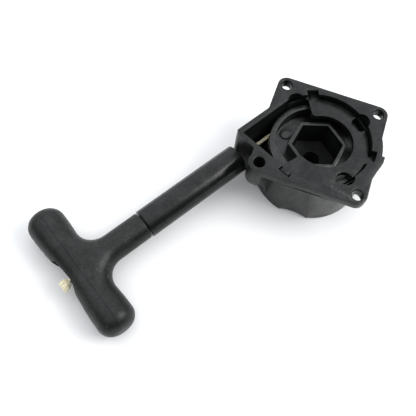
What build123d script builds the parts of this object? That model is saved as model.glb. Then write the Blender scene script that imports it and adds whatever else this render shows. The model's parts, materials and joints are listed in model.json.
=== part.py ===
"""Pull (recoil) starter of a small model-car engine: bowl housing with a square mounting flange,
rope pulley with a hexagonal drive socket, spiral return spring, rope, loose guide tube and T-handle.

Millimetres. Origin: centre of the four-hole pattern, on the mounting face. +Z points out of the open side.
The starter lies on its closed back (z = -DEPTH), and the T-bar rests on the same plane.
"""
from build123d import *
import math
import os

# ---- mounting flange and bowl --------------------------------------------------------------------
PITCH = 32.0            # hole spacing, both ways
SCREW_R = 1.8           # clearance hole for a 3 mm screw
SCREW_CHAMFER = 0.3
FLANGE = 38.2           # side of the square flange
FLANGE_T = 3.4
FLANGE_CORNER = 3.2
BULGE_R = 20.4          # round bulge on the flange's right side
BULGE_LOW, BULGE_HIGH = -8.0, 9.5
DEPTH = 22.0            # mounting face to closed back
BOWL_R = 19.1
BORE_R = 16.9           # inside of the bowl
FLOOR_T = 1.5
BACK_EDGE_R = 0.6       # rounding of the bowl's back edge
DIP_R = 16.0            # shallow hollow down the bowl's front, deepest at the back
DIP_DEPTH = 1.4
DIP_X = -0.3
FLOOR_Z = -DEPTH + FLOOR_T

# ---- boss, scallops and bayonet notches ----------------------------------------------------------
BOSS_R = 3.5
BOSS_H = 9.0
BOSS_TURN = 225.0       # direction of the boss from the bowl's axis
# The boss's web, as (distance from the axis, height).
GUSSET = [(0, -1), (26.5, -1), (26.5, -9.0), (23.2, -9.4), (21.2, -11.4), (19.9, -14.4), (19.0, -18.0),
          (0, -18.0)]
SCALLOP_R = 2.8
SCALLOP_AT = 11.2       # scallop centres are at (+-11.2, +-11.2)
SCALLOP_DEPTH = 2.6
SCALLOP_WALL = 0.45     # thin wall left standing at the bore, with a deeper pocket behind it
POCKET_Z = -6.0
TAB_ANGLES = (113.0, -2.0)
TAB_R = 18.5
TAB_HALF = 5.0          # half width of a bayonet tab, degrees
TAB_T = 1.0
NOTCH_CLEAR = 1.2       # degrees of play beside a tab in its notch
UNDER_LIP = 7.0         # degrees by which a tab is turned under the lip
TAB_PLAY = 0.12
LATCH_ANGLE = -114.7    # third tab: drops into its notch and locks the plate
LATCH_HALF = 5.0
LATCH_R = 18.3
LATCH_TOP = -0.5
LATCH_DEPTH = 3.2
LATCH_PLAY = 0.5
LATCH_ROOT = 1.4        # how far the latch reaches in over the plate
CATCH = [(18.5, 0.9), (21.4, 0.4), (21.3, -1.6), (21.0, -2.9), (20.0, -5.8), (19.1, -9.0), (18.5, -9.0)]

# ---- rope line -----------------------------------------------------------------------------------
ROPE_D = 1.3
LINE_ANGLE = 58.2       # plan direction of the rope, handle to housing, from +X
LINE_DROOP = 3.2        # fall of the rope line towards the handle, degrees
WIND_R = 14.9           # radius of the wound rope's centre line
WIND_Z = -11.0          # height of the turn that the rope leaves
TURNS = 5
TURN_PITCH = 1.25
EXIT_S = 20.0           # distances along the rope line, from where it leaves the winding
FEED_START_S = 6.6
ROPE_GAP = 0.1

# ---- trough that leads the rope out --------------------------------------------------------------
TROUGH_DEPTH = 16.5
TROUGH_FLOOR_T = 1.2
# Corners as (along the rope line, across it from the pulley's axis).
TROUGH_OUTER = [(4.0, 18.8), (19.9, 18.4), (20.6, 16.8), (19.9, 9.4), (17.5, 0.0), (4.0, 0.0)]
TROUGH_INNER = [(-1.3, 17.2), (19.1, 16.6), (17.4, 3.2), (8.0, 0.0), (-5.0, 0.0)]
EXIT_HOLE_R = 1.1

# ---- pulley --------------------------------------------------------------------------------------
RIM_Z = -4.4            # top of the rim and of the hexagonal tube
PULLEY_R = 16.0
RIM_INNER_R = 14.15
WEB_Z = -9.1
WEB_T = 1.2
ROOT_R = 14.2           # bottom of the rope groove
DRUM_WALL = 1.3
LOWER_FLANGE_T = 1.0
GROOVE_SPARE = 0.2      # groove height beyond that of the turns
MERGE = 0.5             # overlap that joins two solids of one piece
HEX_R = 9.9             # across-corners radius of the tube's outside
HEX_WALL = 1.15
HEX_TURN = 19.7         # degrees, first corner from +X
SOCKET_FLOOR_Z = -14.4
SOCKET_FLOOR_T = 1.2
PILOT_R = 3.0
CHORD_AT = 12.5         # filled segment beside the rim: chord distance and direction
CHORD_ANGLE = 231.0
MARK = (-11.1, 2.7)     # round ejector mark on the web
MARK_R = 1.8
MARK_H = 0.7
KNOT_HOLE_R = 0.8
KNOT_ANGLE = 300.0
DRUM_KNOT_R = 1.2
DRUM_KNOT_GAP = 0.2

# ---- centre post and return spring ---------------------------------------------------------------
POST_R = 4.5
POST_PLAY = 0.05        # radial running clearance of the pulley on the post
END_PLAY = 0.2          # gap between the post's top and the socket floor
HUB_R = 6.0
HUB_LIFT = 0.3          # gap between the hub and the bowl's floor
SPRING_Z0 = FLOOR_Z + END_PLAY
SPRING_H = 2.3
SPRING_T = 0.3
SPRING_INNER_R = 6.3
SPRING_PITCH = 1.05     # growth in radius per turn
SPRING_HALF_TURNS = 18

# ---- retaining plate -----------------------------------------------------------------------------
PLATE_Z = -2.0
PLATE_T = 2.0
PLATE_R = 16.35
PLATE_OPENING = (1.5, 0.5)
PLATE_OPENING_R = 9.75
PLATE_GAP = [(-9.3, 17.8), (-4.7, 8.9), (-3.3, 8.9), (1.5, 0.5), (-3.6, -7.9), (-4.7, -7.9), (-10.6, -15.8),
             (-22.0, -16.0), (-22.0, 17.5)]
PLATE_CORNER_R = 1.3

# ---- guide tube ----------------------------------------------------------------------------------
TUBE_R = 4.88
TUBE_BORE_R = 3.4
TUBE_START_S = 21.4
SEAM_S = 60.1
TUBE_CHAMFER = 0.25

# ---- handle --------------------------------------------------------------------------------------
STEM_R = 4.62
SEAM_GAP = 0.35
SPIGOT_R = 3.34
SPIGOT_L = 3.0
BAR_S = 84.75           # bar axis, along the rope line
BAR_END_R = 6.17
BAR_WAIST_R = 5.19
BAR_END_AT = 17.5       # where the bar is thickest, from its middle
BAR_CAP = 6.0           # length of the rounded end beyond that
CAP_CORNER_R = 4.6
WEB_FILLET = 6.8        # in-plane blend between stem and bar
WEB_SECTIONS = 6
WEB_REACH = 0.98        # share of the blend that the oval sections cover
WEB_THICKEN = 0.9       # how far the blend's thickness grows from the stem's to the bar's
WEB_ROOT = 1.0          # extra half width of the blend on the bar's axis
WEB_ROOT_THICK = 0.96   # its thickness there, as a share of the bar's
HANDLE_BORE_R = 1.1
POCKET_L = 12.5
POCKET_W = 5.2
POCKET_DEPTH = 4.2      # below the bar's outer side
POCKET_AT = 1.0         # its middle, along the bar from the rope
KNOT_R = 1.6
TAIL_R = 0.9            # cut end of the rope, opened out a little
TAIL_L = 3.4            # how far it stands out of the knot


def direction():
    """Unit vector of the rope line, from the housing to the handle."""
    plan, fall = math.radians(LINE_ANGLE), math.radians(LINE_DROOP)
    return Vector(-math.cos(plan) * math.cos(fall), -math.sin(plan) * math.cos(fall), -math.sin(fall))


def sideways():
    """Horizontal unit vector across the rope line, away from the pulley's axis."""
    plan = math.radians(LINE_ANGLE)
    return Vector(-math.sin(plan), math.cos(plan), 0)


def on_line(s):
    """Point of the rope line at distance s from where it leaves the winding."""
    return sideways() * WIND_R + Vector(0, 0, WIND_Z) + direction() * s


def line_frame(s):
    """Plane across the rope line: local X along the T-bar, local Z towards the handle."""
    return Plane(origin=on_line(s), x_dir=sideways(), z_dir=direction())


def rod(radius, start, end):
    """Round rod along the rope line."""
    return line_frame(start) * extrude(Circle(radius), end - start)


def disc(radius, top, thickness, centre=(0, 0)):
    """Vertical round disc below the height top."""
    return Pos(centre[0], centre[1], top - thickness) * extrude(Circle(radius), thickness)


def plan_point(along, across):
    """Plan position from distances along the rope line and across it from the pulley's axis."""
    line, side = direction(), sideways()
    flat = math.hypot(line.X, line.Y)
    return (line.X / flat * along + side.X * across, line.Y / flat * along + side.Y * across)


def prism(points, top, depth):
    """Straight prism of a polygon below the height top."""
    return Pos(0, 0, top - depth) * extrude(make_face(Polyline(*points, close=True)), depth)


def ring_sector(inner, outer, angle, half, top, thickness):
    """Sector of a ring, half degrees to each side of angle."""
    reach = outer * 2
    corners = [(0, 0)]
    for step in (-half, 0, half):
        turn = math.radians(angle + step)
        corners.append((reach * math.cos(turn), reach * math.sin(turn)))
    band = disc(outer, top, thickness) - disc(inner, top, thickness)
    return band & prism(corners, top, thickness)


def corner_holes():
    """Centres of the four screw holes."""
    half = PITCH / 2
    return [(half, half), (-half, half), (-half, -half), (half, -half)]


def flange():
    """Square flange with its round bulge and small catch on the right side."""
    plate = Pos(0, 0, -FLANGE_T) * extrude(RectangleRounded(FLANGE, FLANGE, FLANGE_CORNER), FLANGE_T)
    height = BULGE_HIGH - BULGE_LOW
    window = Pos(BULGE_R, (BULGE_HIGH + BULGE_LOW) / 2, -FLANGE_T / 2) * Box(BULGE_R, height, FLANGE_T)
    bulge = disc(BULGE_R, 0, FLANGE_T) & window
    return plate + bulge + prism(CATCH, 0, FLANGE_T)


def bowl():
    """Outside of the bowl, with the hollow down its front and a rounded back edge."""
    body = disc(BOWL_R, 0, DEPTH)
    height = DEPTH - FLANGE_T
    lean = math.degrees(math.atan2(DIP_DEPTH, height))
    top = Pos(DIP_X, -BOWL_R - DIP_R, -FLANGE_T) * Rot(lean, 0, 0)
    body -= top * (Pos(0, 0, -2 * DEPTH) * extrude(Circle(DIP_R), 2 * DEPTH))
    return fillet(body.edges().group_by(Axis.Z)[0], BACK_EDGE_R)


def gusset():
    """Sloping web that carries the screw boss on the bowl."""
    reach = math.hypot(*corner_holes()[2])
    lobe = Rot(0, 0, BOSS_TURN) * Pos(reach / 2, 0) * SlotCenterToCenter(reach, BOSS_R * 2)
    outline = make_face(Polyline(*GUSSET, close=True))
    width = BOWL_R * 2
    side_view = Plane(origin=(0, 0, 0), x_dir=(1, 0, 0), z_dir=(0, -1, 0)) * Pos(0, 0, -width / 2)
    wedge = Rot(0, 0, BOSS_TURN) * (side_view * extrude(outline, width))
    return (Pos(0, 0, -DEPTH) * extrude(lobe, DEPTH)) & wedge


def bayonet_cut(angle):
    """One bayonet notch in the lip, with the groove that the tab turns into."""
    open_half = TAB_HALF + NOTCH_CLEAR
    notch = ring_sector(BORE_R - 1, TAB_R + TAB_PLAY, angle, open_half, 0, -PLATE_Z + TAB_T + TAB_PLAY)
    groove_angle = angle - UNDER_LIP
    groove = ring_sector(BORE_R - 1, TAB_R + TAB_PLAY, groove_angle, open_half,
                         PLATE_Z + TAB_PLAY, TAB_T + 2 * TAB_PLAY)
    return notch + groove


def housing():
    """Bowl, flange, rope trough, screw boss and hollow centre post in one moulding."""
    body = flange() + bowl() + prism([plan_point(*corner) for corner in TROUGH_OUTER], 0, TROUGH_DEPTH)
    body += disc(BOSS_R, 0, BOSS_H, corner_holes()[2]) + gusset()
    body -= disc(BORE_R, 0, DEPTH - FLOOR_T)
    body -= prism([plan_point(*corner) for corner in TROUGH_INNER], 0, TROUGH_DEPTH - TROUGH_FLOOR_T)
    body -= rod(EXIT_HOLE_R, FEED_START_S, EXIT_S + FLANGE_T)
    for centre in corner_holes():
        body -= disc(SCREW_R, 0, BOSS_H, centre)
        mouth = Cone(SCREW_R, SCREW_R + SCREW_CHAMFER, SCREW_CHAMFER)
        body -= Pos(centre[0], centre[1], -SCREW_CHAMFER / 2) * mouth
    for x, y in ((-1, 1), (1, 1), (1, -1)):
        centre = (x * SCALLOP_AT, y * SCALLOP_AT)
        body -= disc(SCALLOP_R, 0, SCALLOP_DEPTH, centre)
        body -= disc(SCALLOP_R, 0, -POCKET_Z, centre) - disc(BORE_R + SCALLOP_WALL, 0, -POCKET_Z)
    for angle in TAB_ANGLES:
        body -= bayonet_cut(angle)
    turn = math.degrees(LATCH_PLAY / LATCH_R)
    body -= ring_sector(BORE_R - 1, LATCH_R + LATCH_PLAY, LATCH_ANGLE, LATCH_HALF + turn, 0, LATCH_DEPTH)
    post_top = SOCKET_FLOOR_Z - SOCKET_FLOOR_T - END_PLAY
    post = disc(POST_R, post_top, post_top - FLOOR_Z) - disc(PILOT_R, post_top, post_top - FLOOR_Z)
    return body + post


def retaining_plate():
    """C-shaped bayonet plate that holds the pulley in the bowl."""
    outline = Circle(PLATE_R) - Pos(*PLATE_OPENING) * Circle(PLATE_OPENING_R)
    outline -= make_face(Polyline(*PLATE_GAP, close=True))
    for x, y in ((1, 1), (1, -1)):
        outline -= Pos(x * SCALLOP_AT, y * SCALLOP_AT) * Circle(SCALLOP_R)
    tip = Vector(*PLATE_GAP[1])
    corner = outline.vertices().sort_by_distance(tip)[0]
    outline = fillet(corner, PLATE_CORNER_R)
    plate = Pos(0, 0, PLATE_Z - PLATE_T) * extrude(outline, PLATE_T)
    for angle in TAB_ANGLES:
        plate += ring_sector(PLATE_R - 1, TAB_R, angle - UNDER_LIP / 2, TAB_HALF, PLATE_Z, TAB_T)
    height = LATCH_TOP + LATCH_DEPTH - TAB_PLAY
    return plate + ring_sector(PLATE_R - LATCH_ROOT, LATCH_R, LATCH_ANGLE, LATCH_HALF, LATCH_TOP, height)


def hexagon(corner_radius):
    """Hexagon of the drive socket at a given across-corners radius."""
    return Rot(0, 0, HEX_TURN) * RegularPolygon(corner_radius, 6)


def pulley():
    """Rope drum with its rim and web, round the hexagonal drive socket."""
    groove_top = WEB_Z - WEB_T
    groove_h = TURNS * TURN_PITCH + GROOVE_SPARE
    drum_bottom = groove_top - groove_h - LOWER_FLANGE_T
    body = disc(PULLEY_R, RIM_Z, RIM_Z - drum_bottom)
    body -= disc(PULLEY_R, groove_top, groove_h) - disc(ROOT_R, groove_top, groove_h)
    body -= disc(RIM_INNER_R, RIM_Z, RIM_Z - WEB_Z)
    body -= disc(ROOT_R - DRUM_WALL, groove_top, groove_top - drum_bottom)
    turn = math.radians(CHORD_ANGLE)
    outward = Plane(origin=(0, 0, WEB_Z), x_dir=(math.cos(turn), math.sin(turn), 0), z_dir=(0, 0, 1))
    beyond = outward * (Pos(CHORD_AT + PULLEY_R / 2, 0, (RIM_Z - WEB_Z) / 2)
                        * Box(PULLEY_R, PULLEY_R * 2, RIM_Z - WEB_Z))
    body += beyond & disc(RIM_INNER_R + MERGE, RIM_Z, RIM_Z - WEB_Z)
    body += disc(MARK_R, WEB_Z + MARK_H, MARK_H, MARK)
    body -= Pos(0, 0, drum_bottom) * extrude(hexagon(HEX_R), RIM_Z - drum_bottom)
    return body - knot_passage()


def drive_socket():
    """Hexagonal tube that the engine's shaft drives, with its hub running on the centre post."""
    tube_bottom = SOCKET_FLOOR_Z - SOCKET_FLOOR_T
    body = Pos(0, 0, tube_bottom) * extrude(hexagon(HEX_R), RIM_Z - tube_bottom)
    hub_bottom = FLOOR_Z + HUB_LIFT
    body += disc(HUB_R, tube_bottom, tube_bottom - hub_bottom)
    inner_r = HEX_R - HEX_WALL / math.cos(math.pi / 6)
    body -= Pos(0, 0, SOCKET_FLOOR_Z) * extrude(hexagon(inner_r), RIM_Z - SOCKET_FLOOR_Z)
    body -= disc(PILOT_R, SOCKET_FLOOR_Z, SOCKET_FLOOR_T)
    return body - disc(POST_R + POST_PLAY, tube_bottom, tube_bottom - hub_bottom)


def knot_passage():
    """Hole in the drum wall through which the rope's inner end reaches its knot."""
    lowest = WIND_Z - (TURNS - 1) * TURN_PITCH
    across = Plane(origin=(0, 0, lowest), x_dir=(0, 0, 1),
                   z_dir=(math.cos(math.radians(KNOT_ANGLE)), math.sin(math.radians(KNOT_ANGLE)), 0))
    start = ROOT_R - DRUM_WALL - MERGE
    return across * (Pos(0, 0, start) * extrude(Circle(KNOT_HOLE_R), ROOT_R + MERGE - start))


def rope_winding():
    """Rope wound on the drum, as closed turns side by side, with its inner end and knot."""
    coil = None
    for turn in range(TURNS):
        ring = Pos(0, 0, WIND_Z - turn * TURN_PITCH) * Torus(WIND_R, ROPE_D / 2)
        coil = ring if coil is None else coil + ring
    lowest = WIND_Z - (TURNS - 1) * TURN_PITCH
    turn = math.radians(KNOT_ANGLE)
    outward = Vector(math.cos(turn), math.sin(turn), 0)
    knot_at = ROOT_R - DRUM_WALL - DRUM_KNOT_R - DRUM_KNOT_GAP
    across = Plane(origin=(0, 0, lowest), x_dir=(0, 0, 1), z_dir=outward)
    tail = across * (Pos(0, 0, knot_at) * extrude(Circle(ROPE_D / 2), WIND_R - knot_at))
    knot = Pos(*(outward * knot_at + Vector(0, 0, lowest))) * Sphere(DRUM_KNOT_R)
    return coil + tail + knot


def recoil_spring():
    """Flat spiral return spring made of half turns that grow about two centres."""
    spring = None
    growth = SPRING_PITCH / 2
    for half in range(SPRING_HALF_TURNS):
        lower = half % 2
        radius = SPRING_INNER_R + half * growth
        band = Circle(radius + SPRING_T / 2) - Circle(radius - SPRING_T / 2)
        window = Pos(0, PULLEY_R * (-1 if lower else 1)) * Rectangle(PULLEY_R * 4, PULLEY_R * 2)
        strip = Pos(growth * lower, 0) * (band & window)
        spring = strip if spring is None else spring + strip
    return Pos(0, 0, SPRING_Z0) * extrude(spring, SPRING_H)


def rope_feed():
    """Straight rope from the winding through the trough's end wall."""
    return rod(ROPE_D / 2, FEED_START_S, EXIT_S - ROPE_GAP)


def rope_run():
    """Straight rope through the guide tube and the handle's stem, to the knot."""
    return rod(ROPE_D / 2, EXIT_S + ROPE_GAP, pocket_floor_s())


def pocket_floor_s():
    """Distance of the knot pocket's floor along the rope line."""
    return BAR_S + BAR_WAIST_R - POCKET_DEPTH


def rope_knot():
    """Knot that holds the rope in the handle's pocket, with its cut tail."""
    floor = pocket_floor_s()
    knot = line_frame(floor + KNOT_R) * Sphere(KNOT_R)
    tail_start = floor + KNOT_R
    return knot + rod(TAIL_R, tail_start, tail_start + KNOT_R + TAIL_L)


def guide_tube():
    """Loose tube on the rope between housing and handle."""
    tube = rod(TUBE_R, TUBE_START_S, SEAM_S)
    tube = chamfer(tube.edges().filter_by(GeomType.CIRCLE), TUBE_CHAMFER)
    return tube - rod(TUBE_BORE_R, TUBE_START_S - 1, SEAM_S + 1)


def handle_bar():
    """T-bar, thicker towards its rounded ends."""
    end = BAR_END_AT
    tip = end + BAR_CAP
    flat = BAR_END_R - CAP_CORNER_R
    waist = ThreePointArc((BAR_END_R, -end), (BAR_WAIST_R, 0), (BAR_END_R, end))
    profile = [waist]
    for side in (1, -1):
        shoulder = (BAR_END_R, side * end)
        low = (BAR_END_R, side * (tip - CAP_CORNER_R))
        turn = math.sqrt(0.5) * CAP_CORNER_R
        middle = (flat + turn, side * (tip - CAP_CORNER_R + turn))
        profile.append(Line(shoulder, low))
        profile.append(ThreePointArc(low, middle, (flat, side * tip)))
        profile.append(Line((flat, side * tip), (0, side * tip)))
    profile.append(Line((0, -tip), (0, tip)))
    half = make_face(Curve() + profile)
    solid = revolve(half, Axis.Y, 360)
    lie = Plane(origin=on_line(BAR_S), x_dir=direction(), z_dir=direction().cross(sideways()))
    return lie * solid


def handle_web():
    """Blend between stem and bar: oval sections that widen along a round fillet."""
    start = BAR_S - BAR_WAIST_R - WEB_FILLET
    sections = []
    for step in range(WEB_SECTIONS):
        share = step / (WEB_SECTIONS - 1)
        along = share * WEB_FILLET * WEB_REACH
        spread = WEB_FILLET - math.sqrt(WEB_FILLET ** 2 - along ** 2)
        thick = STEM_R + share * (BAR_WAIST_R - STEM_R) * WEB_THICKEN
        sections.append(line_frame(start + along) * Ellipse(STEM_R + spread, thick))
    root = Ellipse(STEM_R + WEB_FILLET + WEB_ROOT, BAR_WAIST_R * WEB_ROOT_THICK)
    sections.append(line_frame(BAR_S) * root)
    return loft(sections)


def handle():
    """T-handle with its stem, spigot, rope bore and knot pocket."""
    stem_start = SEAM_S + SEAM_GAP
    stem = rod(STEM_R, stem_start, BAR_S)
    body = stem + handle_web() + handle_bar()
    body += rod(SPIGOT_R, SEAM_S - SPIGOT_L, stem_start + MERGE)
    body -= rod(HANDLE_BORE_R, SEAM_S - SPIGOT_L - 1, BAR_S + BAR_END_R + 1)
    pocket = Pos(POCKET_AT, 0, 0) * extrude(SlotOverall(POCKET_L, POCKET_W), BAR_END_R)
    return body - line_frame(pocket_floor_s()) * pocket


NODES = {
    "housing": housing,
    "retaining_plate": retaining_plate,
    "pulley": pulley,
    "drive_socket": drive_socket,
    "recoil_spring": recoil_spring,
    "rope_winding": rope_winding,
    "rope_feed": rope_feed,
    "rope_run": rope_run,
    "rope_knot": rope_knot,
    "guide_tube": guide_tube,
    "handle": handle,
}

os.makedirs("parts", exist_ok=True)
for name, make in NODES.items():
    solid = make()
    solid.label = name
    export_step(solid, f"parts/{name}.step")
hinge = on_line(EXIT_S)
print("rope exit", [round(value, 3) for value in hinge], "direction",
      [round(value, 5) for value in direction()], "across", [round(value, 5) for value in sideways()])
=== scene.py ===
"""Looks of a small engine's pull starter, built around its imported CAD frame.

Metres, in the row frame: the origin is the centre of the four screw holes, on the mounting face, +Z out of
the open side. The starter lies on its closed back, and the T-bar rests on the same surface.
"""
import json
import math
import random

import bmesh
import bpy
import numpy as np
from mathutils import Matrix, Vector

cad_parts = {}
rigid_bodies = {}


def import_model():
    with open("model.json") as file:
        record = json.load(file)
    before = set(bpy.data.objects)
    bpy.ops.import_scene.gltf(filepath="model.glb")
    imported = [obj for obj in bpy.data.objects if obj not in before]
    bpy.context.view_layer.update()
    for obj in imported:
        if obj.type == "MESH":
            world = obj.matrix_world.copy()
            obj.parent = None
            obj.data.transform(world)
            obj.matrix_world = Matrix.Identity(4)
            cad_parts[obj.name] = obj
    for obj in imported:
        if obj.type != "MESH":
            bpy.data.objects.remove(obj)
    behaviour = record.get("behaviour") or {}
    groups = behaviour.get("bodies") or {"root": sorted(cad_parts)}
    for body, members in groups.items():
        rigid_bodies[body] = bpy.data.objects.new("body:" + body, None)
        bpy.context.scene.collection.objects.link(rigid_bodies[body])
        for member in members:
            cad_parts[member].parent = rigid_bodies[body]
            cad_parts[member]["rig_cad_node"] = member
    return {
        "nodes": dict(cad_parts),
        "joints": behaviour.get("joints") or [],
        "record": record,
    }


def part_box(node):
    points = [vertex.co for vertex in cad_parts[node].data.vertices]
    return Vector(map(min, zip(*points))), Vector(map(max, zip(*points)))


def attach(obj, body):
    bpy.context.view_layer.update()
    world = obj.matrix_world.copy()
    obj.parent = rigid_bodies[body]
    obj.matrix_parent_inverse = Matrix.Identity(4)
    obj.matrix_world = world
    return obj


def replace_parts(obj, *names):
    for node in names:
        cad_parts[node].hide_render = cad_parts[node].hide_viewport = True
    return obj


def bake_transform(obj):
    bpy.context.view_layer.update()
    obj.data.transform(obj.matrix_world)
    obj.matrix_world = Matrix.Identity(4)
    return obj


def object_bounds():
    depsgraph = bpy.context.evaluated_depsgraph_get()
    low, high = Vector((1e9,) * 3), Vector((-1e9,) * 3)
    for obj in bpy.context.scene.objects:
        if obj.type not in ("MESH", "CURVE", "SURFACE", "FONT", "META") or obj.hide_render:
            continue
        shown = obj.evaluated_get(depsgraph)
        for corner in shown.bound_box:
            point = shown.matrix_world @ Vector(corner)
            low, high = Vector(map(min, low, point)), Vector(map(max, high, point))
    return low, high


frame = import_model()
cad_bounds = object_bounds()

MM = 0.001
JOINTS = {joint["name"]: joint for joint in frame["joints"]}
LINE = Vector(JOINTS["handle_pull"]["axis"]).normalized()       # along the rope, towards the handle
SIDE = Vector(JOINTS["tube_tilt"]["axis"]).normalized()         # along the T-bar, horizontal
LIFT = SIDE.cross(LINE).normalized()                            # upright on both
EXIT = Vector(JOINTS["tube_tilt"]["pos_m"])                     # where the rope leaves the trough
FLOOR_Z = cad_bounds[0].z


# ---- node materials ------------------------------------------------------------------------------
LOW_SHADE_DEPTH = (-0.0140, -0.0095)            # heights between which painted shade takes the shine off the drive socket low down
SHADE_LOW, SHADE_HIGH = (-0.0160, -0.0158), (-0.0010, -0.0005)    # soft ends of the painted shade inside the housing
BORE = 0.01705                              # radius inside which the bowl's wall gets painted shade
TROUGH_NEAR, TROUGH_FAR = 0.0030, 0.0179    # painted shade inside the trough, across the rope
TROUGH_BACK, TROUGH_END = -0.0030, 0.0177   # and along it
TROUGH_SLANT = 0.127                        # lean of the trough's end wall
SOFT_EDGE = 0.0001                          # width of a change from no painted shade to painted shade
BACK_RINGS = ((0, 0, 3.0), (10.5, 6, 1.6), (-10.5, 6, 1.6), (0, -12, 1.6))      # mm: x, y, radius
BACK_RING_HALF = 0.00018
BACK_MARK_Z = (-0.0219, -0.0218)            # the rings fade out between these heights
# colour of exposed edges, partly wear and partly painted highlight, and of dust
WORN_AND_HIGHLIT, DUST = (0.050, 0.053, 0.052), (0.09, 0.09, 0.085)
EDGE_WEAR_AND_HIGHLIGHT = 0.8                                 # how strongly an exposed edge shows wear and painted highlight
SHADE_SHARE = 0.2                            # share of its shine that the housing's inside keeps under painted shade


def material(name):
    """New material with its node tree, Principled shader and object coordinates."""
    made = bpy.data.materials.new(name)
    made.use_nodes = True
    tree = made.node_tree
    shader = next(node for node in tree.nodes if node.type == "BSDF_PRINCIPLED")
    place = tree.nodes.new("ShaderNodeTexCoord").outputs["Object"]
    return made, tree, shader, place


def noise(tree, place, scale, detail=4.0, rough=0.55, stretch=(1, 1, 1)):
    """Noise over the object's own coordinates."""
    mapping = tree.nodes.new("ShaderNodeMapping")
    mapping.inputs["Scale"].default_value = stretch
    tree.links.new(place, mapping.inputs["Vector"])
    node = tree.nodes.new("ShaderNodeTexNoise")
    node.inputs["Scale"].default_value = scale
    node.inputs["Detail"].default_value = detail
    node.inputs["Roughness"].default_value = rough
    tree.links.new(mapping.outputs["Vector"], node.inputs["Vector"])
    return node.outputs["Fac"]


def ramp(tree, value, low, high, out_low=0.0, out_high=1.0):
    """Maps a value's stretch low..high to out_low..out_high."""
    node = tree.nodes.new("ShaderNodeMapRange")
    node.inputs["From Min"].default_value = low
    node.inputs["From Max"].default_value = high
    node.inputs["To Min"].default_value = out_low
    node.inputs["To Max"].default_value = out_high
    tree.links.new(value, node.inputs["Value"])
    return node.outputs["Result"]


def math_node(tree, kind, first, second):
    """Math node on a socket and a socket or number."""
    node = tree.nodes.new("ShaderNodeMath")
    node.operation = kind
    tree.links.new(first, node.inputs[0])
    if isinstance(second, (int, float)):
        node.inputs[1].default_value = second
    else:
        tree.links.new(second, node.inputs[1])
    return node.outputs[0]


def colour_mix(tree, factor, first, second):
    """Mix of two colours, each a socket or an RGB triple."""
    node = tree.nodes.new("ShaderNodeMix")
    node.data_type = "RGBA"
    tree.links.new(factor, node.inputs["Factor"])
    for socket, value in ((node.inputs[6], first), (node.inputs[7], second)):
        if isinstance(value, tuple):
            socket.default_value = (*value, 1.0)
        else:
            tree.links.new(value, socket)
    return node.outputs[2]


def bump(tree, shader, height, strength, distance):
    """Bump on the shader's normal, after any bump that is already there."""
    node = tree.nodes.new("ShaderNodeBump")
    node.inputs["Strength"].default_value = strength
    node.inputs["Distance"].default_value = distance
    if shader.inputs["Normal"].is_linked:
        tree.links.new(shader.inputs["Normal"].links[0].from_socket, node.inputs["Normal"])
    tree.links.new(height, node.inputs["Height"])
    tree.links.new(node.outputs["Normal"], shader.inputs["Normal"])


def vector_value(tree, kind, first, second):
    """Value of a vector math node on a socket and a fixed vector."""
    node = tree.nodes.new("ShaderNodeVectorMath")
    node.operation = kind
    node.inputs[1].default_value = second
    tree.links.new(first, node.inputs[0])
    return node.outputs["Value"]


def coordinate(tree, place, axis):
    """One coordinate of a place."""
    split = tree.nodes.new("ShaderNodeSeparateXYZ")
    tree.links.new(place, split.inputs["Vector"])
    return split.outputs[axis]


def product(tree, first, *others):
    """Product of several values."""
    for other in others:
        first = math_node(tree, "MULTIPLY", first, other)
    return first


def over(tree, value, limit):
    """1 over a limit, 0 under it."""
    return ramp(tree, value, limit, limit + SOFT_EDGE)


def under(tree, value, limit):
    """1 under a limit, 0 over it."""
    return ramp(tree, value, limit, limit + SOFT_EDGE, 1.0, 0.0)


def inside_of_housing(tree, place):
    """1 on the walls inside the bowl and the rope trough, where painted shade goes, 0 outside."""
    squares = [math_node(tree, "POWER", coordinate(tree, place, axis), 2.0) for axis in "XY"]
    in_bowl = under(tree, math_node(tree, "SQRT", math_node(tree, "ADD", *squares), 0.0), BORE)
    across, along = (vector_value(tree, "DOT_PRODUCT", place, (heading.x, heading.y, 0))
                     for heading in (SIDE, LINE))
    slanted = math_node(tree, "SUBTRACT", along, math_node(tree, "MULTIPLY", across, TROUGH_SLANT))
    in_trough = product(tree, over(tree, across, TROUGH_NEAR), under(tree, across, TROUGH_FAR),
                        under(tree, slanted, TROUGH_END), over(tree, along, TROUGH_BACK))
    height = coordinate(tree, place, "Z")
    return product(tree, math_node(tree, "MAXIMUM", in_bowl, in_trough),
                   ramp(tree, height, *SHADE_HIGH, 1.0, 0.0), ramp(tree, height, *SHADE_LOW))


def back_marks(tree, place):
    """Ejector-pin rings and a gate ring moulded into the closed back, as a height, 0 elsewhere."""
    rings = []
    for x, y, radius in BACK_RINGS:
        reach = vector_value(tree, "DISTANCE", place, (x * MM, y * MM, FLOOR_Z))
        off = math_node(tree, "ABSOLUTE", math_node(tree, "SUBTRACT", reach, radius * MM), 0.0)
        rings.append(ramp(tree, off, 0.0, BACK_RING_HALF, 1.0, 0.0))
    height = rings[0]
    for ring in rings[1:]:
        height = math_node(tree, "MAXIMUM", height, ring)
    return product(tree, height, ramp(tree, coordinate(tree, place, "Z"), *BACK_MARK_Z, 1.0, 0.0))


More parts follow.
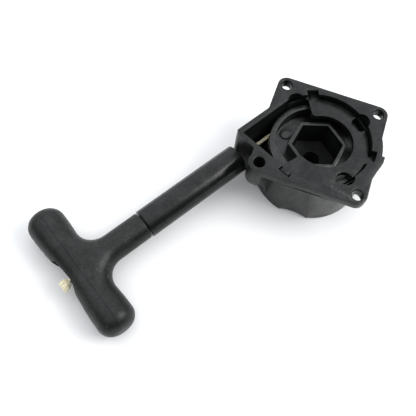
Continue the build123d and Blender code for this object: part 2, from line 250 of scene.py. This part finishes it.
def black_plastic(name, dark, light, rough_low, rough_high, shine, low_shade_share=1.0, shaded_inside=False):
    """Satin black moulded plastic: faint mottling, fine grain, worn edges made lighter as painted
    highlight, scuffs and a little dust.

    The low-down share is the share of its shine that the plastic keeps low down, at the depth set for it,
    as painted shade."""
    made, tree, shader, place = material(name)
    body = colour_mix(tree, ramp(tree, noise(tree, place, 260, 5, 0.6), 0.3, 0.7), dark, light)
    edge = ramp(tree, tree.nodes.new("ShaderNodeNewGeometry").outputs["Pointiness"], 0.53, 0.66)
    patchy = ramp(tree, noise(tree, place, 900, 3), 0.42, 0.62)
    # exposed edges: real wear, made lighter to paint highlights along them
    worn_and_highlit = colour_mix(tree, product(tree, edge, patchy, EDGE_WEAR_AND_HIGHLIGHT), body, WORN_AND_HIGHLIT)
    specks = ramp(tree, noise(tree, place, 5200, 2, 0.5), 0.735, 0.78, 0.0, 0.4)
    tree.links.new(colour_mix(tree, specks, worn_and_highlit, DUST), shader.inputs["Base Color"])
    smear = ramp(tree, noise(tree, place, 140, 4, 0.6), 0.3, 0.7, rough_low, rough_high)
    scratch = ramp(tree, noise(tree, place, 420, 6, 0.7, (1, 6, 1)), 0.62, 0.72, 0.0, 0.10)
    tree.links.new(math_node(tree, "ADD", smear, scratch), shader.inputs["Roughness"])
    # painted shade: the shine falls off low down, in the deep drive socket
    gloss = product(tree, ramp(tree, coordinate(tree, place, "Z"), *LOW_SHADE_DEPTH, low_shade_share * shine, shine),
                    ramp(tree, noise(tree, place, 210, 5, 0.65), 0.35, 0.65, 0.8, 1.2),
                    ramp(tree, noise(tree, place, 1500, 6, 0.7), 0.35, 0.65, 0.75, 1.25))
    if shaded_inside:
        bump(tree, shader, back_marks(tree, place), 0.8, -0.00015)
        # painted shade: the inside of the bowl and of the trough keeps only a share of its shine
        gloss = product(tree, gloss, ramp(tree, inside_of_housing(tree, place), 0, 1, 1.0, SHADE_SHARE))
    tree.links.new(gloss, shader.inputs["Specular IOR Level"])
    bump(tree, shader, noise(tree, place, 6500, 3, 0.6), 0.35, 0.00003)
    bump(tree, shader, noise(tree, place, 320, 3, 0.5), 0.25, 0.00012)
    return made


def rope_material(name):
    """Pale yellow twisted nylon: painted shade in the hollows, against which the fibre tops look lighter,
    and fine fibres along the strands.
    """
    made, tree, shader, place = material(name)
    shade = ramp(tree, noise(tree, place, 700, 4), 0.3, 0.7)
    body = colour_mix(tree, shade, (0.70, 0.64, 0.42), (0.88, 0.84, 0.66))
    # painted shade: darker colour in the hollows between the strands
    shaded_hollow = ramp(tree, tree.nodes.new("ShaderNodeNewGeometry").outputs["Pointiness"], 0.38, 0.5)
    tree.links.new(colour_mix(tree, shaded_hollow, (0.30, 0.25, 0.14), body), shader.inputs["Base Color"])
    shader.inputs["Roughness"].default_value = 0.55
    shader.inputs["Sheen Weight"].default_value = 0.3
    bump(tree, shader, noise(tree, place, 4200, 4, 0.6, (1, 1, 0.4)), 0.6, 0.00005)
    return made


def steel_material(name):
    """Blued spring strip, brushed along its length."""
    made, tree, shader, place = material(name)
    streak = noise(tree, place, 900, 5, 0.6, (1, 1, 14))
    body = colour_mix(tree, ramp(tree, streak, 0.3, 0.7), (0.20, 0.22, 0.27), (0.42, 0.43, 0.46))
    tree.links.new(body, shader.inputs["Base Color"])
    tree.links.new(ramp(tree, streak, 0.3, 0.7, 0.24, 0.42), shader.inputs["Roughness"])
    shader.inputs["Metallic"].default_value = 1.0
    bump(tree, shader, streak, 0.2, 0.00003)
    return made


MATERIALS = {
    # painted shade on the inside of the housing
    "housing_plastic": black_plastic("housing_plastic", (0.0035, 0.0038, 0.0038), (0.0060, 0.0065, 0.0064),
                                     0.26, 0.38, 0.27, shaded_inside=True),
    "plate_plastic": black_plastic("plate_plastic", (0.0030, 0.0033, 0.0033), (0.0055, 0.0059, 0.0058),
                                   0.26, 0.38, 0.25),
    # painted shade: the pulley and drive socket keep little shine low down
    "pulley_plastic": black_plastic("pulley_plastic", (0.0025, 0.0028, 0.0028), (0.0050, 0.0054, 0.0052),
                                    0.26, 0.38, 0.4, low_shade_share=0.12),
    "tube_plastic": black_plastic("tube_plastic", (0.0035, 0.0038, 0.0037), (0.0065, 0.0070, 0.0068),
                                  0.20, 0.30, 0.26),
    "handle_plastic": black_plastic("handle_plastic", (0.0040, 0.0045, 0.0043), (0.0070, 0.0078, 0.0074),
                                    0.34, 0.46, 0.28),
    "rope": rope_material("rope"),
    "spring_steel": steel_material("spring_steel"),
}


def finish_of(piece, slot):
    """Gives a piece the material named by its record slot."""
    piece.data.materials.clear()
    piece.data.materials.append(MATERIALS[slot])


# ---- mesh helpers --------------------------------------------------------------------------------
WELD = 0.002 * MM       # points closer than this become one
SHARP = 40              # degrees: sharper edges of the hard parts are rounded off


def mesh_object(name, mesh):
    """Links a mesh into the scene as an object."""
    made = bpy.data.objects.new(name, mesh)
    bpy.context.scene.collection.objects.link(made)
    return made


def shade_by_angle(mesh, degrees):
    """Smooth shading, with edges sharper than the angle kept sharp."""
    grid = bmesh.new()
    grid.from_mesh(mesh)
    for face in grid.faces:
        face.smooth = True
    for edge in grid.edges:
        edge.smooth = not (edge.is_manifold and edge.calc_face_angle(0) > math.radians(degrees))
    grid.to_mesh(mesh)
    grid.free()


def softened(node, name, width):
    """Copy of a CAD node whose sharp edges are rounded off, kept within the node's own box."""
    mesh = frame["nodes"][node].data.copy()
    grid = bmesh.new()
    grid.from_mesh(mesh)
    bmesh.ops.remove_doubles(grid, verts=grid.verts, dist=WELD)
    sharp = [edge for edge in grid.edges
             if edge.is_manifold and edge.calc_face_angle(0) > math.radians(SHARP)]
    bmesh.ops.bevel(grid, geom=sharp, offset=width * MM, segments=2, profile=0.5, affect="EDGES",
                    clamp_overlap=False, loop_slide=True)
    bmesh.ops.triangulate(grid, faces=[face for face in grid.faces if len(face.verts) > 4])
    low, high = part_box(node)
    for vertex in grid.verts:
        vertex.co = [min(max(vertex.co[k], low[k]), high[k]) for k in range(3)]
    grid.to_mesh(mesh)
    grid.free()
    shade_by_angle(mesh, 35)
    piece = mesh_object(name, mesh)
    body = next(b for b, nodes in frame["record"]["behaviour"]["bodies"].items() if node in nodes)
    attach(piece, body)
    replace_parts(piece, node)
    return piece


SLOTS = {part["node"]: part["material_slot"] for part in frame["record"]["subparts"]}
for node, solid in frame["nodes"].items():
    finish_of(solid, SLOTS[node])
    for polygon in solid.data.polygons:
        polygon.use_smooth = False

# ---- handle: smooth field, turned into quads -----------------------------------------------------
SEAM_A = 40.1           # joint between guide tube and handle, along the line from the exit
SEAM_GAP = 0.45
BAR_A = 64.75           # bar axis
STEM_R = 4.62
BAR_WAIST_R, BAR_END_R = 5.19, 6.17
BAR_END_AT, BAR_TIP, TIP_CORNER = 17.5, 23.5, 4.6
ENDS_FROM, ENDS_TO = 11, 16         # across, where the web's section gives way to the round bar's
STEM_SHORT = 2.7        # how far short of the bar's axis the stem stops
WEB_FILLET, WEB_BLEND = 6.8, 2
POCKET_AT, POCKET_HALF, POCKET_R, POCKET_DEPTH = 1.1, 3.7, 2.95, 4.2
POCKET_FLOOR = BAR_A + BAR_WAIST_R - POCKET_DEPTH
SEAM_EDGE, POCKET_EDGE, POCKET_CORNER = 0.4, 0.25, 0.6      # radii of rounded edges
BORE_R = 1.1
SPIGOT_R, SPIGOT_L, SPIGOT_ROOT = 3.34, 3.0, 1.2
RIDGE, RIDGE_HALF = 0.2, 0.14       # height and half width of the moulding ridge
GRIP_CELL = 0.55
SLEEVE_START, SLEEVE_OUTER, SLEEVE_INNER = 1.4, 4.88, 3.4


def smooth_step(value, low, high):
    """0 below low, 1 above high, smooth between."""
    share = np.clip((value - low) / (high - low), 0, 1)
    return share * share * (3 - 2 * share)


def bar_radius(across):
    """Bar radius: slim waist, thick ends."""
    share = np.clip(np.abs(across) / BAR_END_AT, 0, 1)
    return BAR_WAIST_R + (BAR_END_R - BAR_WAIST_R) * (1 - np.cos(share * math.pi)) / 2


def bar_field(across, radial):
    """Signed distance of the bar, from the distance across and the distance from its axis."""
    level = radial + BAR_END_R - bar_radius(across)
    end = np.abs(across) - (BAR_TIP - TIP_CORNER)
    wall = level - (BAR_END_R - TIP_CORNER)
    outside = np.hypot(np.maximum(end, 0), np.maximum(wall, 0))
    return outside + np.minimum(np.maximum(end, wall), 0) - TIP_CORNER


def smooth_max(first, second, radius):
    """Larger of two fields, with the edge between them rounded."""
    both = np.hypot(np.maximum(first + radius, 0), np.maximum(second + radius, 0)) - radius
    return both + np.minimum(np.maximum(first, second) + radius, 0)


def handle_field(points):
    """Signed distance of the handle's body, from points (across, along, lift) in millimetres."""
    across, along, lift = points[:, 0], points[:, 1], points[:, 2]
    bar_flat = bar_field(across, np.abs(along - BAR_A))
    stem_flat = np.maximum(np.abs(across) - STEM_R, along - (BAR_A - STEM_SHORT))
    inner = np.hypot(np.maximum(WEB_FILLET - bar_flat, 0), np.maximum(WEB_FILLET - stem_flat, 0))
    outline = np.maximum(WEB_FILLET, np.minimum(bar_flat, stem_flat)) - inner
    toward_stem = smooth_step(bar_flat, -WEB_BLEND, WEB_FILLET + WEB_BLEND)
    thick = bar_radius(across) + (STEM_R - bar_radius(across)) * toward_stem
    body = np.hypot(np.maximum(outline + thick, 0), lift) - thick
    bar = bar_field(across, np.hypot(along - BAR_A, lift))
    body = body + (bar - body) * smooth_step(np.abs(across), ENDS_FROM, ENDS_TO)
    body = smooth_max(body, (SEAM_A + SEAM_GAP) - along, SEAM_EDGE)
    reach = np.maximum(np.abs(across - POCKET_AT) - POCKET_HALF, 0)
    pocket = smooth_max(np.hypot(reach, lift) - POCKET_R, POCKET_FLOOR - along, POCKET_CORNER)
    return smooth_max(body, -pocket, POCKET_EDGE)


def isosurface(field, low, high, step):
    """Quads of a field's zero surface, one point for each cell that the surface crosses."""
    axes = [np.arange(low[k], high[k] + step, step) for k in range(3)]
    grid = np.stack(np.meshgrid(*axes, indexing="ij"), -1)
    inside = (field(grid.reshape(-1, 3)) < 0).reshape(grid.shape[:3])
    cells = [size - 1 for size in inside.shape]
    count = sum(inside[i:cells[0] + i, j:cells[1] + j, k:cells[2] + k].astype(int)
                for i in (0, 1) for j in (0, 1) for k in (0, 1))
    mixed = (count > 0) & (count < 8)
    index = np.full(mixed.shape, -1)
    index[mixed] = np.arange(mixed.sum())
    points = grid[:-1, :-1, :-1][mixed] + step / 2
    quads = []
    for axis in range(3):
        before = np.take(inside, range(inside.shape[axis] - 1), axis)
        after = np.take(inside, range(1, inside.shape[axis]), axis)
        others = [k for k in range(3) if k != axis]
        for leaving in (True, False):
            place = np.argwhere((before != after) & (before == leaving))
            place = place[(place[:, others[0]] > 0) & (place[:, others[1]] > 0)]
            ring = []
            for step_a, step_b in ((0, 0), (1, 0), (1, 1), (0, 1)):
                cell = place.copy()
                cell[:, others[0]] -= step_a
                cell[:, others[1]] -= step_b
                ring.append(index[cell[:, 0], cell[:, 1], cell[:, 2]])
            ring = np.stack(ring, -1)
            flip = leaving == (axis == 1)
            quads.append(ring[:, ::-1] if flip else ring)
    return points, np.concatenate(quads)


def settle(points, field, rounds, width=0.02):
    """Moves points onto the field's zero surface."""
    for _ in range(rounds):
        value = field(points)
        slope = np.stack([(field(points + step) - field(points - step)) / (2 * width)
                          for step in np.eye(3) * width], -1)
        size = np.maximum((slope ** 2).sum(-1), 0.05)
        points = points - slope * np.clip(value / size, -0.5, 0.5)[:, None]
    return points


def relax(points, quads, share=0.5):
    """Moves each point part of the way to the middle of its neighbours."""
    total = np.zeros_like(points)
    number = np.zeros(len(points))
    for k in range(4):
        first, second = quads[:, k], quads[:, (k + 1) % 4]
        for one, other in ((first, second), (second, first)):
            np.add.at(total, one, points[other])
            np.add.at(number, one, 1)
    return points + (total / number[:, None] - points) * share


def field_mesh(name, field, low, high, step):
    """Mesh of a field's zero surface in millimetres, evenly spread and then divided once."""
    points, quads = isosurface(field, low, high, step)
    for _ in range(6):
        points = settle(relax(points, quads), field, 3)
    mesh = bpy.data.meshes.new(name)
    mesh.from_pydata(points.tolist(), [], quads.tolist())
    grid = bmesh.new()
    grid.from_mesh(mesh)
    bmesh.ops.subdivide_edges(grid, edges=grid.edges, cuts=1, use_grid_fill=True)
    grid.to_mesh(mesh)
    grid.free()
    finer = np.array([vertex.co for vertex in mesh.vertices])
    finer = settle(finer, field, 5)
    mesh.vertices.foreach_set("co", finer.ravel())
    mesh.update()
    return mesh


def line_matrix():
    """From (across, along, lift) in millimetres to the row frame in metres."""
    turn = Matrix((SIDE, LINE, LIFT)).transposed().to_4x4()
    return Matrix.Translation(EXIT) @ turn @ Matrix.Scale(MM, 4)


def parting_line(mesh, place):
    """Fine moulding ridge where the mesh, in line coordinates, crosses the plane along = place."""
    grid = bmesh.new()
    grid.from_mesh(mesh)
    for offset in (-RIDGE_HALF, 0.0, RIDGE_HALF):
        everything = grid.verts[:] + grid.edges[:] + grid.faces[:]
        bmesh.ops.bisect_plane(grid, geom=everything, plane_co=(0, place + offset, 0), plane_no=(0, 1, 0),
                               dist=0.01)
    grid.normal_update()
    ridge = [vertex for vertex in grid.verts if abs(vertex.co.y - place) < 0.02]
    push = {vertex: vertex.normal * RIDGE for vertex in ridge}
    for vertex, move in push.items():
        vertex.co += Vector((move.x, 0, move.z))
    grid.to_mesh(mesh)
    grid.free()


def lathe(name, profile, segments=96):
    """Solid of revolution about the line, from (along, radius) corners of a closed outline."""
    points, quads = [], []
    for k in range(segments):
        turn = 2 * math.pi * k / segments
        points += [(radius * math.cos(turn), along, radius * math.sin(turn)) for along, radius in profile]
    count = len(profile)
    for k in range(segments):
        here, there = k * count, (k + 1) % segments * count
        quads += [(here + j, here + (j + 1) % count, there + (j + 1) % count, there + j)
                  for j in range(count)]
    mesh = bpy.data.meshes.new(name)
    mesh.from_pydata(points, [], quads)
    return mesh


def rounded(corners, radius, steps=4):
    """Closed outline with each corner turned into a small arc."""
    outline = []
    for k, corner in enumerate(corners):
        corner = Vector(corner)
        before = (Vector(corners[k - 1]) - corner).normalized()
        after = (Vector(corners[(k + 1) % len(corners)]) - corner).normalized()
        start, end = corner + before * radius, corner + after * radius
        for j in range(steps + 1):
            share = j / steps
            outline.append(tuple(start.lerp(corner, share).lerp(corner.lerp(end, share), share)))
    return outline


def on_the_line(name, mesh, angle, body, slot, node=None):
    """Places a mesh made in line coordinates, shades it, gives it its body and finish, and hides the CAD
    node it replaces.
    """
    mesh.transform(line_matrix())
    shade_by_angle(mesh, angle)
    piece = mesh_object(name, mesh)
    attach(piece, body)
    if node:
        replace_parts(piece, node)
    finish_of(piece, slot)


def grip():
    """T-handle with its knot pocket and parting line, and its spigot with the rope's bore.

    The bore is not carried on through the grip, where the rope runs through solid material."""
    mesh = field_mesh("handle_grip", handle_field, (-26, SEAM_A - 2, -8), (26, BAR_A + 8, 8), GRIP_CELL)
    parting_line(mesh, BAR_A)
    on_the_line("handle_grip", mesh, 60, "handle", "handle_plastic", "handle")
    start, end = SEAM_A - SPIGOT_L, SEAM_A + SPIGOT_ROOT
    outline = [(start, BORE_R), (start, SPIGOT_R), (end, SPIGOT_R), (end, BORE_R)]
    plug = lathe("handle_spigot", rounded(outline, 0.3))
    on_the_line("handle_spigot", plug, 40, "handle", "handle_plastic")


def sleeve():
    """Loose guide tube with rounded end rims."""
    outline = [(SLEEVE_START, SLEEVE_INNER), (SLEEVE_START, SLEEVE_OUTER), (SEAM_A, SLEEVE_OUTER),
               (SEAM_A, SLEEVE_INNER)]
    mesh = lathe("guide_sleeve", rounded(outline, 0.28))
    on_the_line("guide_sleeve", mesh, 40, "guide_tube", "tube_plastic", "guide_tube")


# ---- rope: three strands twisted round a path, in millimetres of the row frame --------------------
ROPE_R, TROUGH_ROPE_R = 0.52, 0.6
LAY = 3.6               # length of one full twist
COIL_R = 14.75
COIL_TOP, COIL_LOW = -11.5, -16.05
LEAVING = 148.2         # angle where the rope leaves the pulley
ANCHOR = 300.0          # angle of the hole that the rope's inner end passes
COIL_TURNS = (LEAVING - ANCHOR + 5 * 360) / 360
ANCHOR_BEND = 0.8
TROUGH_START = -14.2    # where the rope comes out from under the pulley's rim, along the line
TROUGH_SAG, EXIT_SAG = 0.6, 0.39    # how far it hangs below the line there, and at the exit
EXIT_LAP = -0.1         # where the trough's rope meets the tube's, along the line
KNOT_LIFT = 1.55        # height of the knot's middle over the pocket's floor
HANDLE_KNOT, DRUM_KNOT = 0.42, 0.36
TAIL_L, TAIL_ASIDE = 5.1, -0.7      # length of the cut tail, and how far to one side it starts
TAIL_LEAN, TAIL_RISE = -0.9, 0.7
FIBRES, FIBRE_R = 340, 0.11


def transported(path):
    """Two unit directions across a path at each of its points, without twist."""
    along = np.gradient(path, axis=0)
    along /= np.linalg.norm(along, axis=1)[:, None]
    normal = np.cross(along[0], (0.31, 0.22, 0.92))
    normals = []
    for heading in along:
        normal = normal - heading * normal.dot(heading)
        normal = normal / np.linalg.norm(normal)
        normals.append(normal)
    first = np.array(normals)
    return first, np.cross(along, first)


def tube(path, radius, sides=10):
    """Closed round tube along a path, as (points, faces); the radius may change along it."""
    first, second = transported(path)
    turn = np.linspace(0, 2 * math.pi, sides, endpoint=False)[None, :, None]
    radii = np.broadcast_to(radius, len(path))[:, None, None]
    points = path[:, None] + radii * (np.cos(turn) * first[:, None] + np.sin(turn) * second[:, None])
    count = len(path)
    faces = [(k + j, k + (j + 1) % sides, k + sides + (j + 1) % sides, k + sides + j)
             for k in range(0, (count - 1) * sides, sides) for j in range(sides)]
    faces += [tuple(range(sides - 1, -1, -1)), tuple(range((count - 1) * sides, count * sides))]
    return points.reshape(-1, 3), faces


def strands(path, radius=ROPE_R, open_up=None):
    """Three strands twisted round a path, as a list of (points, faces)."""
    first, second = transported(path)
    length = np.concatenate([[0], np.cumsum(np.linalg.norm(np.diff(path, axis=0), axis=1))])
    spread = 0.54 * radius * (np.ones(len(path)) if open_up is None else open_up)
    parts = []
    for k in range(3):
        turn = 2 * math.pi * (length / LAY + k / 3)
        offset = np.cos(turn)[:, None] * first + np.sin(turn)[:, None] * second
        parts.append(tube(path + offset * spread[:, None], 0.5 * radius))
    return parts


def soft_piece(name, parts, body=None):
    """One rope-coloured piece from several (points, faces) parts in millimetres."""
    points, faces = [], []
    for part_points, part_faces in parts:
        base = len(points)
        points += (part_points * MM).tolist()
        faces += [tuple(index + base for index in face) for face in part_faces]
    mesh = bpy.data.meshes.new(name)
    mesh.from_pydata(points, [], faces)
    for polygon in mesh.polygons:
        polygon.use_smooth = len(polygon.vertices) == 4
    piece = mesh_object(name, mesh)
    finish_of(piece, "rope")
    if body:
        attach(piece, body)
    return piece


def row_point(along):
    """Point of the rope line at millimetres from the trough's exit, in millimetres of the row frame."""
    return np.array(EXIT + LINE * along * MM) / MM


def straight(start, end, step=0.3):
    """Evenly spaced points between two points."""
    count = max(2, int(np.linalg.norm(end - start) / step))
    share = np.linspace(0, 1, count)[:, None]
    return start + (end - start) * share


def coil_path():
    """Helix on the drum, from where the rope leaves it to the hole in the drum, and in through that."""
    sweep = np.arange(0, COIL_TURNS * 360 - math.degrees(ANCHOR_BEND / COIL_R), 1.2)
    turn = np.radians(LEAVING - sweep)
    height = COIL_TOP + (COIL_LOW - COIL_TOP) * sweep / sweep[-1]
    helix = np.stack([COIL_R * np.cos(turn), COIL_R * np.sin(turn), height], -1)
    outward = np.array([math.cos(turn[-1]), math.sin(turn[-1]), 0])
    onward = np.array([outward[1], -outward[0], 0])
    middle = helix[-1] - outward * ANCHOR_BEND
    bend = [middle + ANCHOR_BEND * (outward * math.cos(b) + onward * math.sin(b))
            for b in np.radians(np.arange(15, 91, 15))]
    inward = straight(bend[-1] - outward * 0.2, bend[-1] - outward * 2.2)
    return np.concatenate([helix, bend, inward]), inward[-1], -outward


def knot_parts(centre, axis, size):
    """Overhand knot drawn tight: a three-lobed closed loop of rope."""
    t = np.linspace(0, 2 * math.pi, 90)
    axis = axis / np.linalg.norm(axis)
    one = np.cross(axis, (0.2, 0.1, 0.97))
    one /= np.linalg.norm(one)
    two = np.cross(axis, one)
    a, b, c = np.sin(t) + 2 * np.sin(2 * t), np.cos(t) - 2 * np.cos(2 * t), -np.sin(3 * t)
    loop = centre + size * (a[:, None] * one + b[:, None] * two + 1.15 * c[:, None] * axis)
    return strands(loop, ROPE_R * 0.95)


def drum_rope():
    """Rope wound on the drum, with its inner end knotted inside."""
    path, end, inward = coil_path()
    parts = strands(path) + knot_parts(end + inward * 0.1, inward, DRUM_KNOT)
    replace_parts(soft_piece("rope_coil", parts, "pulley"), "rope_winding")


def trough_rope():
    """Rope from the drum through the housing's trough to its exit."""
    path = straight(row_point(TROUGH_START), row_point(EXIT_LAP))
    path[:, 2] -= np.linspace(TROUGH_SAG, EXIT_SAG, len(path))
    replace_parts(soft_piece("rope_in_trough", strands(path, TROUGH_ROPE_R), "housing"), "rope_feed")


def pull_rope():
    """Rope from the trough's exit to the knot in the handle."""
    start, end = row_point(EXIT_LAP), row_point(POCKET_FLOOR + 0.5)
    piece = soft_piece("rope_pull", strands(straight(start, end)))
    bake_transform(piece)
    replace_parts(piece, "rope_run")


def handle_knot():
    """Knot in the handle's pocket and its cut tail, with the strands opened out and frayed."""
    centre = row_point(POCKET_FLOOR + KNOT_LIFT)
    heading = np.array(LINE)
    across, upright = np.array(SIDE), np.array(LIFT)
    parts = knot_parts(centre, heading, HANDLE_KNOT)
    share = np.linspace(0, 1, 26)[:, None]
    lean = across * TAIL_LEAN + upright * TAIL_RISE
    tail = centre + across * TAIL_ASIDE + heading * TAIL_L * share + lean * share ** 1.5
    parts += strands(tail[:20], ROPE_R * 1.4, np.linspace(1, 2.2, 20))
    chance = random.Random(11)
    for _ in range(FIBRES):
        angle, spread = chance.uniform(0, 2 * math.pi), math.sqrt(chance.random())
        out = across * math.cos(angle) + upright * math.sin(angle)
        first = chance.randrange(8, 14)
        reach = chance.uniform(0.6, 1.0)
        run = np.linspace(0, 1, 9)[:, None]
        base = tail[first] + out * spread * 0.6
        tip = centre + (tail[-1] - centre) * reach + out * spread * chance.uniform(1.6, 2.3)
        curl = across * chance.uniform(-0.45, 0.45) + upright * chance.uniform(-0.45, 0.45)
        fibre = base + (tip - base) * run + curl * np.sin(run * math.pi)
        parts.append(tube(fibre, FIBRE_R * (1 - 0.4 * run[:, 0]), 5))
    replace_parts(soft_piece("rope_knot_tail", parts, "rope_end"), "rope_knot")


grip()
sleeve()
drum_rope()
trough_rope()
pull_rope()
handle_knot()
finish_of(softened("housing", "housing_shell", 0.14), "housing_plastic")
finish_of(softened("retaining_plate", "bayonet_plate", 0.12), "plate_plastic")
finish_of(softened("pulley", "rope_pulley", 0.12), "pulley_plastic")
finish_of(softened("drive_socket", "drive_hexagon", 0.12), "pulley_plastic")


# ---- floor, light and camera ---------------------------------------------------------------------
FLOOR_REACH = 3.0
FLOOR_DROP = 0.02 * MM      # how far the floor lies below the starter's back
SKY, BACKDROP = (0.965, 0.985, 1.01, 1), 1.2    # colour of the surroundings, least brightness to the camera
VIEW_AT = (-12.0, -102.8, 146.1)                # mm
VIEW_YAW, VIEW_PITCH, VIEW_ROLL = math.radians(-11.82), math.radians(65.24), math.radians(8.37)
VIEW_LENS = 46.5


def plain_floor():
    """Wide white sheet under the starter."""
    made, tree, shader, place = material("floor")
    patches = ramp(tree, noise(tree, place, 3, 3), 0.3, 0.7)
    tone = colour_mix(tree, patches, (0.71, 0.71, 0.71), (0.73, 0.73, 0.73))
    tree.links.new(tone, shader.inputs["Base Color"])
    shader.inputs["Roughness"].default_value = 0.6
    shader.inputs["Specular IOR Level"].default_value = 0.2
    mesh = bpy.data.meshes.new("floor")
    corners = [(x * FLOOR_REACH, y * FLOOR_REACH, FLOOR_Z - FLOOR_DROP)
               for x, y in ((-1, -1), (1, -1), (1, 1), (-1, 1))]
    mesh.from_pydata(corners, [], [(0, 1, 2, 3)])
    floor = mesh_object("floor", mesh)
    floor.data.materials.append(made)


def area_light(name, place, target, side, power):
    """Soft square lamp aimed at a point."""
    lamp = bpy.data.lights.new(name, "AREA")
    lamp.shape = "SQUARE"
    lamp.size = side
    lamp.energy = power
    made = bpy.data.objects.new(name, lamp)
    bpy.context.scene.collection.objects.link(made)
    made.location = place
    made.rotation_mode = "QUATERNION"
    made.rotation_quaternion = (Vector(target) - Vector(place)).to_track_quat("-Z", "Y")


def soft_world(toward, dim, bright):
    """Pale surroundings, brighter in one direction and dimmer away from it; the camera sees them white."""
    world = bpy.data.worlds.new("studio")
    world.use_nodes = True
    tree = world.node_tree
    background = tree.nodes["Background"]
    background.inputs["Color"].default_value = SKY
    heading = tree.nodes.new("ShaderNodeTexCoord").outputs["Generated"]
    aim = vector_value(tree, "DOT_PRODUCT", heading, Vector(toward).normalized())
    shine = ramp(tree, aim, 0.2, 0.75, dim, bright)
    seen = tree.nodes.new("ShaderNodeLightPath").outputs["Is Camera Ray"]
    strength = math_node(tree, "MAXIMUM", shine, product(tree, seen, BACKDROP))
    tree.links.new(strength, background.inputs["Strength"])
    bpy.context.scene.world = world


def photo_camera():
    """Camera that looks down at the starter from the front left, turned a little about its own axis."""
    yaw, pitch, roll = VIEW_YAW, VIEW_PITCH, VIEW_ROLL
    forward = Vector((math.cos(pitch) * math.sin(yaw), math.cos(pitch) * math.cos(yaw), -math.sin(pitch)))
    level = Vector((math.cos(yaw), -math.sin(yaw), 0))
    above = level.cross(forward)
    right = level * math.cos(roll) + above * math.sin(roll)
    up = above * math.cos(roll) - level * math.sin(roll)
    data = bpy.data.cameras.new("camera")
    data.lens = VIEW_LENS
    data.clip_start, data.clip_end = 0.005, 20
    camera = bpy.data.objects.new("camera", data)
    bpy.context.scene.collection.objects.link(camera)
    turn = Matrix((right, up, -forward)).transposed().to_4x4()
    camera.matrix_world = Matrix.Translation(Vector(VIEW_AT) * MM) @ turn
    bpy.context.scene.camera = camera


plain_floor()
soft_world((-0.25, 0.3, 0.9), dim=0.10, bright=1.9)
area_light("key", (0.42, 0.10, 0.42), (-0.01, -0.01, -0.02), side=0.36, power=3.2)
photo_camera()
bpy.context.scene.view_settings.view_transform = "Standard"
